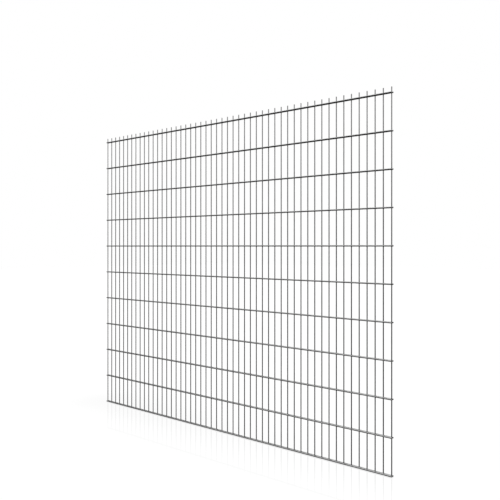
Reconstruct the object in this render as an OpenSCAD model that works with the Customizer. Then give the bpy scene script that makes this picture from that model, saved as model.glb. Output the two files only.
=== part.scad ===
// Welded fence mesh of round steel rods: one upright at every mesh spacing, held between
// a front and a back rail at every row, with prongs along the top edge.
// X runs along the panel, Y through it with the front at -Y, and Z up.
// The origin is on the lower end of the middle upright.

/* [Mesh] */
// Length of the mesh, between the axes of the end uprights
mesh_l = 2500; // [1000:50:3000]
// Height of the mesh, between the axes of the bottom and the top rails
mesh_h = 2000; // [400:50:2400]
// Spacing of the uprights, taken to the nearest that parts the length evenly
upright_spacing = 50; // [40:1:100]
// Spacing of the rows of rails, taken to the nearest that parts the height evenly
row_spacing = 200; // [100:1:250]

/* [Rods] */
// Diameter of the horizontal rails
rail_d = 8; // [5:0.5:10]
// Diameter of the uprights
upright_d = 6; // [4:0.5:8]
// Depth to which each rail is pressed into an upright where they are welded
weld_sink = 0.8; // [0.3:0.1:1.2]
// Bevel round the cut ends of the rods
end_bevel = 0.5; // [0.2:0.1:1]

/* [Edges] */
// Height of the prongs above the axis of the top rails
prong_h = 30; // [10:1:60]
// Length of rail past the axis of the end uprights
rail_overhang = 5; // [5:0.5:25]

/* [Hidden] */
// Curve resolution of the rods
$fn = 48;
// Zinc grey of galvanised steel
zinc = [0.56, 0.57, 0.58];
// Sides of the panel that a rail can lie on, as the sign of its Y
front = -1;
back = 1;
// Number of the right end upright, with the left one as number 0. It is even, so that one
// upright is in the middle
last_upright = 2 * round(mesh_l / upright_spacing / 2);
// Number of the top row of rails, with the bottom one as number 0
top_row = round(mesh_h / row_spacing);
// Number of groups that the uprights between the two end ones are parted into
groups = 7;
// Distance of the rails' axes from the plane of the uprights' axes
rail_y = (upright_d + rail_d) / 2 - weld_sink;
// Length of the rails and of the uprights
rail_l = mesh_l + 2 * rail_overhang;
upright_l = rail_d / 2 + mesh_h + prong_h;

// Names of the rails of one row, counted from 01 at the bottom, and of a group of uprights
function rail_name(side, row) =
    str(side == front ? "front" : "back", "_rail_", row < 9 ? "0" : "", row + 1);
function group_name(group) = str("uprights_group_", group);

// Place of an upright along the panel, and height of a row of rails
function upright_x(number) = (number / last_upright - 1 / 2) * mesh_l;
function row_z(row) = rail_d / 2 + row / top_row * mesh_h;

// Number of the first upright of a group, with the inner uprights shared out evenly
function group_start(group) = 1 + floor((group - 1) * (last_upright - 1) / groups);

// Round rod that stands on its lower end, bevelled round both ends
module rod(diameter, length) {
    r = diameter / 2;
    rotate_extrude()
        polygon([
            [0, 0], [r - end_bevel, 0], [r, end_bevel],
            [r, length - end_bevel], [r - end_bevel, length], [0, length]
        ]);
}

// One upright at its place, from the underside of the bottom rails to the tip of its prong
module upright(number) {
    translate([upright_x(number), 0, 0]) rod(upright_d, upright_l);
}

// Upright at one end of the panel
module end_upright(number) {
    color(zinc) upright(number);
}

// Neighbouring uprights from left to right, none of which touch
module upright_group(group) {
    color(zinc)
        for (number = [group_start(group):group_start(group + 1) - 1]) upright(number);
}

// One rail, with a saddle pressed into it by each upright that it is welded to
module rail(side, row) {
    color(zinc)
        difference() {
            translate([-rail_l / 2, side * rail_y, row_z(row)])
                rotate([0, 90, 0]) rod(rail_d, rail_l);
            for (number = [0:last_upright]) upright(number);
        }
}

end_upright(0);  // left_end_upright
end_upright(last_upright);  // right_end_upright
for (group = [1:groups])
    upright_group(group);
for (side = [front, back], row = [0:top_row])
    rail(side, row);
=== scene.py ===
import math

import bpy
import numpy as np
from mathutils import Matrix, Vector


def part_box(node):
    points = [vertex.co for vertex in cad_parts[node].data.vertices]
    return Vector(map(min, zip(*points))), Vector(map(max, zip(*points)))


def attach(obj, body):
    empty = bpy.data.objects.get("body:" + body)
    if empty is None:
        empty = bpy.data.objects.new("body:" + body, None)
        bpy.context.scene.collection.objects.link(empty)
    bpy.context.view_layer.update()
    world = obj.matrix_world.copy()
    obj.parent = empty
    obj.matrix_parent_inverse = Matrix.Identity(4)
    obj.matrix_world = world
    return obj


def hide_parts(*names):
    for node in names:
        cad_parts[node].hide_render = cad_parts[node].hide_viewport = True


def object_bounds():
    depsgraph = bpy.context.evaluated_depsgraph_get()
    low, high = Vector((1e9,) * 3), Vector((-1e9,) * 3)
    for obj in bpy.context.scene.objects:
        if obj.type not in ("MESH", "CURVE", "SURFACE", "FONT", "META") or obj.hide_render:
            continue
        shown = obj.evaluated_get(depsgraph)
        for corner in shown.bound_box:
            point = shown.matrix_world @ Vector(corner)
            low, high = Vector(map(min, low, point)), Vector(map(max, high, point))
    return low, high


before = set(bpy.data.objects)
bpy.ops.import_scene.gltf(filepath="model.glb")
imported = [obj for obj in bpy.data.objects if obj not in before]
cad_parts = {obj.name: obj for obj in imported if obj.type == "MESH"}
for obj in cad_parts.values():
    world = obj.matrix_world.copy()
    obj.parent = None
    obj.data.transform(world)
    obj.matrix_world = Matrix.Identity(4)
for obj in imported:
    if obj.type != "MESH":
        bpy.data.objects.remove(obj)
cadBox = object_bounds()
print("frame loaded,", len(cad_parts), "nodes")


# Meshes

def meshFromGrids(name, points, closedAlong, capped):
    # Each grid of points[k] is a surface of two parameters. The second one always runs round and
    # meets itself, and the first one does so too where closedAlong says it. Capped ends are flat.
    count, along, around, _ = points.shape
    index = np.arange(count * along * around).reshape(count, along, around)
    first = index if closedAlong else index[:, :-1]
    second = np.roll(index, -1, axis=1) if closedAlong else index[:, 1:]
    quads = np.stack([first, np.roll(first, -1, axis=2), np.roll(second, -1, axis=2), second], axis=3)
    quads = quads.reshape(-1, 4)
    faces = quads.tolist()
    if capped:
        faces += index[:, 0, ::-1].tolist() + index[:, -1].tolist()
    mesh = bpy.data.meshes.new(name)
    mesh.from_pydata(points.reshape(-1, 3), [], faces)
    smooth = np.arange(len(faces)) < len(quads)
    mesh.polygons.foreach_set("use_smooth", smooth)
    mesh.update()
    piece = bpy.data.objects.new(name, mesh)
    bpy.context.scene.collection.objects.link(piece)
    return piece


def setTone(piece, tones):
    # One tone for each rod or weld, the same at all of its points
    layer = piece.data.attributes.new("zincTone", "FLOAT", "POINT")
    perGrid = len(piece.data.vertices) // len(tones)
    layer.data.foreach_set("value", np.repeat(tones, perGrid).astype(np.float32))


# Sizes of the mesh, from the frame

def centreOf(node):
    low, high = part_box(node)
    return (np.array(low) + np.array(high)) / 2


def spanOf(node):
    low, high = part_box(node)
    return np.array(high) - np.array(low)


railNodes = sorted(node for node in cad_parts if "_rail_" in node)
groupNodes = sorted(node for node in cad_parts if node.startswith("uprights_group_"))
railRadius = spanOf(railNodes[0])[2] / 2
uprightRadius = spanOf("left_end_upright")[0] / 2
leftX = centreOf("left_end_upright")[0]
rightX = centreOf("right_end_upright")[0]
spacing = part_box(groupNodes[0])[0][0] + uprightRadius - leftX
uprightXs = np.linspace(leftX, rightX, round((rightX - leftX) / spacing) + 1)
print("mesh of", len(uprightXs), "uprights and", len(railNodes), "rails")


# Rods

rods = {
    "sides": 24,          # facets round a rod
    "bevel": 0.0005,      # rounding of the cut ends, metres
    "bevelSteps": 3,      # rings in that rounding
    "tone": 0.5,          # the rods' middle grey, 0 to 1
    "toneSpread": 0.25,   # how much one rod may differ from the next, 0 to 1
    "seed": 21,
}
rodDraw = np.random.default_rng(rods["seed"])


def rodProfile(length, radius):
    # A straight wall with a quarter circle of the bevel's size at both ends
    turn = np.linspace(0, math.pi / 2, rods["bevelSteps"] + 1)
    inward = rods["bevel"] * (1 - np.cos(turn))[::-1]
    advance = rods["bevel"] * (1 - np.sin(turn))[::-1]
    stations = np.concatenate([advance, length - advance[::-1]])
    radii = np.concatenate([radius - inward, radius - inward[::-1]])
    return stations, radii


def makeRods(name, node, feet, length, radius, axis):
    # Every rod is a circle of the profile's radius carried along its axis from its foot
    stations, radii = rodProfile(length, radius)
    turn = np.linspace(0, 2 * math.pi, rods["sides"], endpoint=False)
    side = np.roll(axis, 1)
    up = np.cross(axis, side)
    circle = np.cos(turn)[:, None] * side + np.sin(turn)[:, None] * up
    rod = stations[:, None, None] * axis + radii[:, None, None] * circle
    points = feet[:, None, None, :] + rod
    piece = meshFromGrids(name, points, closedAlong=False, capped=True)
    setTone(piece, rods["tone"] + rods["toneSpread"] * (rodDraw.random(len(feet)) - 0.5))
    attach(piece, "root")
    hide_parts(node)
    return piece


def pieceName(node):
    words = node.split("_")
    return words[0] + "".join(word.capitalize() for word in words[1:])


def makeRail(node):
    length = spanOf(node)[0]
    foot = centreOf(node) - np.array([length / 2, 0, 0])
    return makeRods(pieceName(node), node, foot[None, :], length, railRadius, np.array([1.0, 0, 0]))


def makeUprights(node):
    low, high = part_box(node)
    here = uprightXs[(uprightXs > low[0]) & (uprightXs < high[0])]
    feet = np.stack([here, np.zeros(len(here)), np.full(len(here), low[2])], axis=1)
    length = high[2] - low[2]
    return makeRods(pieceName(node), node, feet, length, uprightRadius, np.array([0, 0, 1.0]))


rails = [makeRail(node) for node in railNodes]
uprights = [makeUprights(node) for node in ["left_end_upright"] + groupNodes + ["right_end_upright"]]
print("rods made,", len(rails) + len(uprights), "pieces")


# Welds

welds = {
    "around": 12,             # steps round a weld
    "railReach": 0.0010,      # how far the squeezed-out lip reaches over the rail, metres
    "uprightReach": 0.0009,   # and over the upright
    "widest": 0.95,           # how far round a rod a lip may reach, as a share of the rod's radius
    "crown": 0.00045,         # height of the lip's crown, metres
    "sunk": 0.00015,          # how deep its feet lie in the steel, metres
    "root": 0.0006,           # how far inside the crossing its hidden root lies, metres
    "unevenness": 0.35,       # how much a lip's size may change from weld to weld, and round it
    "seed": 4,
}


def makeWelds(name, nodes):
    # The lip is a closed ring round the line where rail and upright meet. Seen along Y that line is
    # close to an ellipse. The ring's section has four points: a foot sunk in the rail, a crown, a
    # foot sunk in the upright and a hidden root. The names of the front's and the back's lips
    # differ in length, and so their draws differ too.
    draw = np.random.default_rng(welds["seed"] + len(name))
    centres = np.array([centreOf(node) for node in nodes])
    offset = centres[0, 1]
    depth = railRadius + uprightRadius - abs(offset)
    halfAcross = math.sqrt(uprightRadius ** 2 - (uprightRadius - depth) ** 2)
    halfUp = math.sqrt(railRadius ** 2 - (railRadius - depth) ** 2)
    x, z = np.meshgrid(uprightXs, centres[:, 2])
    place = np.stack([x.ravel(), np.zeros(x.size), z.ravel()], axis=1)
    turn = np.linspace(0, 2 * math.pi, welds["around"], endpoint=False)
    scale = 1 + welds["unevenness"] * (draw.random((x.size, 1)) - 0.5)
    ripple = 1 + welds["unevenness"] * (draw.random((x.size, welds["around"])) - 0.5)
    size = scale * ripple

    def ellipse(reach):
        return (halfAcross + reach * size) * np.cos(turn), (halfUp + reach * size) * np.sin(turn)

    def onRail(reach, sunk):
        # The rail's front is a circle in Y and Z: its Y is the axis less the root of r^2 - z^2
        across, up = ellipse(reach)
        up = np.clip(up, -welds["widest"] * railRadius, welds["widest"] * railRadius)
        through = abs(offset) - np.sqrt(railRadius ** 2 - up ** 2) + sunk
        return np.stack([across, np.sign(offset) * through, up], axis=2)

    def onUpright(reach, sunk):
        # The upright is a circle in X and Y: its Y is the root of r^2 - x^2
        across, up = ellipse(reach)
        across = np.clip(across, -welds["widest"] * uprightRadius, welds["widest"] * uprightRadius)
        through = np.sqrt(uprightRadius ** 2 - across ** 2) - sunk
        return np.stack([across, np.sign(offset) * through, up], axis=2)

    railFoot = onRail(welds["railReach"], welds["sunk"])
    uprightFoot = onUpright(welds["uprightReach"], welds["sunk"])
    root = onRail(-welds["root"], 0)
    outward = np.stack([np.cos(turn), np.zeros_like(turn), np.sin(turn)], axis=1)
    crown = (railFoot + uprightFoot) / 2 + welds["crown"] * size[:, :, None] * outward
    crown[:, :, 2] = np.clip(crown[:, :, 2], -railRadius, railRadius)     # none hangs below its rail
    section = [railFoot, crown, uprightFoot, root]
    if offset > 0:
        section = section[::-1]
    points = place[:, None, None, :] + np.stack(section, axis=2)
    piece = meshFromGrids(name, points, closedAlong=True, capped=False)
    setTone(piece, draw.random(x.size))
    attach(piece, "root")
    return piece


frontWelds = makeWelds("frontWelds", [node for node in railNodes if node.startswith("front")])
backWelds = makeWelds("backWelds", [node for node in railNodes if node.startswith("back")])
print("welds made,", len(uprightXs) * len(railNodes))


# Shader maths

def join(tree, operation, *values):
    # One Math node on values that are sockets or numbers
    node = tree.nodes.new("ShaderNodeMath")
    node.operation = operation
    for entry, value in zip(node.inputs, values):
        plug(tree, entry, value)
    return Signal(tree, node.outputs[0])


def plug(tree, entry, value):
    if isinstance(value, Signal):
        tree.links.new(value.socket, entry)
    else:
        entry.default_value = value


class Signal:
    # One output socket. Arithmetic on it adds Math nodes to its tree.
    def __init__(self, tree, socket):
        self.tree = tree
        self.socket = socket

    def maths(self, operation, *others):
        return join(self.tree, operation, self, *others)

    def __add__(self, other):
        return self.maths("ADD", other)

    def __sub__(self, other):
        return self.maths("SUBTRACT", other)

    def __rsub__(self, other):
        return join(self.tree, "SUBTRACT", other, self)

    def __mul__(self, other):
        return self.maths("MULTIPLY", other)

    __radd__ = __add__
    __rmul__ = __mul__


class Bench:
    # A node tree that is built one node at a time
    def __init__(self, owner):
        owner.use_nodes = True
        self.tree = owner.node_tree
        self.tree.nodes.clear()

    def node(self, kind, settings, sockets, output=0):
        made = self.tree.nodes.new(kind)
        for key, value in settings.items():
            setattr(made, key, value)
        for key, value in sockets.items():
            plug(self.tree, made.inputs[key], value)
        return Signal(self.tree, made.outputs[output]) if made.outputs else None


# Zinc

zinc = {
    "dark": (0.13, 0.13, 0.13, 1),       # the darkest grey of the coat
    "light": (0.34, 0.34, 0.34, 1),      # the palest grey
    "metallic": 1.0,
    "spangle": 0.0035,                   # width of the zinc crystals, metres
    "frayed": 0.0012,                    # how far specks push the crystals' edges about, metres
    # Marks made of noise. Width is in metres, and the noise from low to high becomes 0 to 1.
    "frost": {"width": 0.0009, "detail": 2.0, "low": 0.3, "high": 0.7},     # the finest specks
    "bloom": {"width": 0.011, "detail": 5.0, "low": 0.5, "high": 0.66},     # dull white patches
    "cloud": {"width": 0.09, "detail": 3.0, "low": 0.3, "high": 0.7},       # paler, darker stretches
    "grain": {"width": 0.0014, "detail": 2.0, "low": 0.35, "high": 0.65},   # drawn marks
    "grainStretch": 50,                  # how many times longer than wide a drawn mark is
    "roughnessLow": 0.25,
    "roughnessHigh": 0.47,
    "bump": 0.00006,                     # depth of the coat's unevenness, metres
    "bumpStrength": 0.7,
    # What each mark adds to the grey, to the roughness and to the height of the coat
    "greyShares": {"crystal": 0.26, "frost": 0.26, "bloom": 0.16, "cloud": 0.12, "grain": 0.14,
                   "rod": 0.24},
    "greyStart": -0.1,                   # the grey before any mark is added
    "roughShares": {"crystal": 0.4, "frost": 0.2, "bloom": 0.3, "grain": 0.1},
    "heightShares": {"frost": 0.5, "grain": 0.3, "bloom": 0.2},
}


def makeZinc(name, drawnAlong):
    # Every mark is a number from 0 to 1 over the coat. Grey, roughness and height are each the sum
    # of the marks times their shares.
    material = bpy.data.materials.new(name)
    finish = Bench(material)
    place = finish.node("ShaderNodeTexCoord", {}, {}, "Object")

    def noise(mark, vector=place):
        waves = finish.node("ShaderNodeTexNoise", {},
                            {"Vector": vector, "Scale": 1 / mark["width"], "Detail": mark["detail"]})
        return finish.node("ShaderNodeMapRange", {},
                           {"Value": waves, "From Min": mark["low"], "From Max": mark["high"]})

    def mix(shares, start=0.0):
        total = start
        for key, share in shares.items():
            total = total + share * marks[key]
        return total

    long = tuple(1 / zinc["grainStretch"] if axis == drawnAlong else 1.0 for axis in "XYZ")
    drawn = finish.node("ShaderNodeMapping", {}, {"Vector": place, "Scale": long})
    push = finish.node("ShaderNodeTexNoise", {},
                       {"Vector": place, "Scale": 1 / zinc["frost"]["width"]}, "Color")
    push = finish.node("ShaderNodeVectorMath", {"operation": "SCALE"}, {0: push, "Scale": zinc["frayed"]})
    bent = finish.node("ShaderNodeVectorMath", {"operation": "ADD"}, {0: place, 1: push})
    cells = finish.node("ShaderNodeTexVoronoi", {"feature": "F1"},
                        {"Vector": bent, "Scale": 1 / zinc["spangle"]}, "Color")
    marks = {
        "crystal": finish.node("ShaderNodeSeparateColor", {}, {"Color": cells}, "Red"),
        "frost": noise(zinc["frost"]),
        "bloom": noise(zinc["bloom"]),
        "cloud": noise(zinc["cloud"]),
        "grain": noise(zinc["grain"], drawn),
        "rod": finish.node("ShaderNodeAttribute", {"attribute_name": "zincTone"}, {}, "Fac"),
    }
    # A Mix node takes its factor at 0 and its two colours at 6 and 7, and gives the colour at 2
    colour = finish.node("ShaderNodeMix", {"data_type": "RGBA", "clamp_factor": True},
                         {0: mix(zinc["greyShares"], zinc["greyStart"]), 6: zinc["dark"],
                          7: zinc["light"]}, 2)
    spread = zinc["roughnessHigh"] - zinc["roughnessLow"]
    normal = finish.node("ShaderNodeBump", {},
                         {"Strength": zinc["bumpStrength"], "Distance": zinc["bump"],
                          "Height": mix(zinc["heightShares"])})
    shader = finish.node("ShaderNodeBsdfPrincipled", {},
                         {"Base Color": colour, "Metallic": zinc["metallic"],
                          "Roughness": zinc["roughnessLow"] + spread * mix(zinc["roughShares"]),
                          "Normal": normal})
    finish.node("ShaderNodeOutputMaterial", {}, {"Surface": shader})
    return material


railZinc = makeZinc("railZinc", "X")
uprightZinc = makeZinc("uprightZinc", "Z")
for piece in rails + [frontWelds, backWelds]:
    piece.data.materials.append(railZinc)
for piece in uprights:
    piece.data.materials.append(uprightZinc)
print("zinc finishes made")


# Studio

studio = {
    "horizon": 0.15,          # light from all round, at eye level
    "climb": 1.61,            # light that grows evenly from there up to straight above
    "overhead": 1.8,          # light that is nearly all overhead
    "below": 0.02,            # light that comes up from below
    "edge": 0.05,             # softness of the step at eye level
    "backdrop": 1.0,          # brightness of the backdrop behind the panel
    "floorGrey": 0.04,        # share of the light that the floor throws back, and so takes shadows
    "floorGlow": 0.948,       # light that the floor gives off itself, which makes up its white
    "mirrorShare": 0.32,      # share of the floor's light at the panel's foot that is a mirror image
    "mirrorReach": 0.75,      # metres from the panel over which that image dies away
    "mirrorGlow": 0.205,      # more glow there, so that the floor stays an even white
    "mirrorRoughness": 0.05,  # blur of that image
    "floorSize": 60.0,        # metres
}


def makeFloor():
    # A white floor. It mirrors the panel's foot faintly, less and less away from the panel.
    half = studio["floorSize"] / 2
    corners = np.array([[-half, -half, 0], [half, -half, 0], [half, half, 0], [-half, half, 0]])
    mesh = bpy.data.meshes.new("floor")
    mesh.from_pydata(corners, [], [(0, 1, 2, 3)])
    floor = bpy.data.objects.new("floor", mesh)
    bpy.context.scene.collection.objects.link(floor)
    material = bpy.data.materials.new("floorWhite")
    finish = Bench(material)
    place = finish.node("ShaderNodeTexCoord", {}, {}, "Object")
    along = finish.node("ShaderNodeSeparateXYZ", {}, {"Vector": place}, "X")
    across = finish.node("ShaderNodeSeparateXYZ", {}, {"Vector": place}, "Y")
    past = (along.maths("ABSOLUTE") - cadBox[1][0]).maths("MAXIMUM", 0.0)
    away = (past * past + across * across).maths("SQRT")
    near = finish.node("ShaderNodeMapRange", {"interpolation_type": "SMOOTHSTEP"},
                       {"Value": away, "From Max": studio["mirrorReach"], "To Min": 1.0, "To Max": 0.0})
    nearGlow = studio["floorGlow"] + studio["mirrorGlow"]
    glow = finish.node("ShaderNodeMix", {"data_type": "RGBA"},
                       {0: near, 6: (studio["floorGlow"],) * 3 + (1,), 7: (nearGlow,) * 3 + (1,)}, 2)
    matt = finish.node("ShaderNodeBsdfPrincipled", {},
                       {"Base Color": (studio["floorGrey"],) * 3 + (1,), "Roughness": 1.0,
                        "Specular IOR Level": 0.0, "Emission Color": glow, "Emission Strength": 1.0})
    mirror = finish.node("ShaderNodeBsdfAnisotropic", {}, {"Roughness": studio["mirrorRoughness"]})
    shader = finish.node("ShaderNodeMixShader", {},
                         {0: studio["mirrorShare"] * near, 1: matt, 2: mirror})
    finish.node("ShaderNodeOutputMaterial", {}, {"Surface": shader})
    mesh.materials.append(material)
    floor.visible_diffuse = False
    floor.visible_glossy = False


def makeWorld():
    # Above the horizon the light is horizon + climb h + overhead h^3, where h is the height of the
    # direction, 0 at eye level and 1 straight above. Hardly any comes from below. The camera sees
    # one even white behind the panel.
    world = bpy.data.worlds.new("studio")
    sky = Bench(world)
    direction = sky.node("ShaderNodeTexCoord", {}, {})
    rise = sky.node("ShaderNodeSeparateXYZ", {}, {"Vector": direction}, "Z")
    upper = sky.node("ShaderNodeMapRange", {}, {"Value": rise, "From Min": -studio["edge"],
                                                "From Max": studio["edge"]})
    above = studio["horizon"] + studio["climb"] * rise + studio["overhead"] * (rise * rise * rise)
    light = studio["below"] + (above - studio["below"]) * upper
    seen = sky.node("ShaderNodeLightPath", {}, {}, "Is Camera Ray")
    strength = studio["backdrop"] * seen + light * (1 - seen)
    shine = sky.node("ShaderNodeBackground", {}, {"Color": (1, 1, 1, 1), "Strength": strength})
    sky.node("ShaderNodeOutputWorld", {}, {"Surface": shine})
    bpy.context.scene.world = world


# Camera

lens = {
    "place": (3.055, -3.051, 1.201),     # metres
    "heading": 42.627,                   # degrees to the left of +Y
    "focal": 47.93,                      # millimetres on a 36 mm sensor
    "sensor": 36.0,
    "shiftDown": 0.00723,                # share of the picture's width
}


def makeCamera():
    data = bpy.data.cameras.new("camera")
    data.lens = lens["focal"]
    data.sensor_width = lens["sensor"]
    data.shift_y = -lens["shiftDown"]
    camera = bpy.data.objects.new("camera", data)
    camera.location = lens["place"]
    camera.rotation_euler = (math.pi / 2, 0, math.radians(lens["heading"]))
    bpy.context.scene.collection.objects.link(camera)
    bpy.context.scene.camera = camera


makeFloor()
makeWorld()
makeCamera()
bpy.context.scene.view_settings.view_transform = "Standard"     # white stays white
print("studio and camera set")
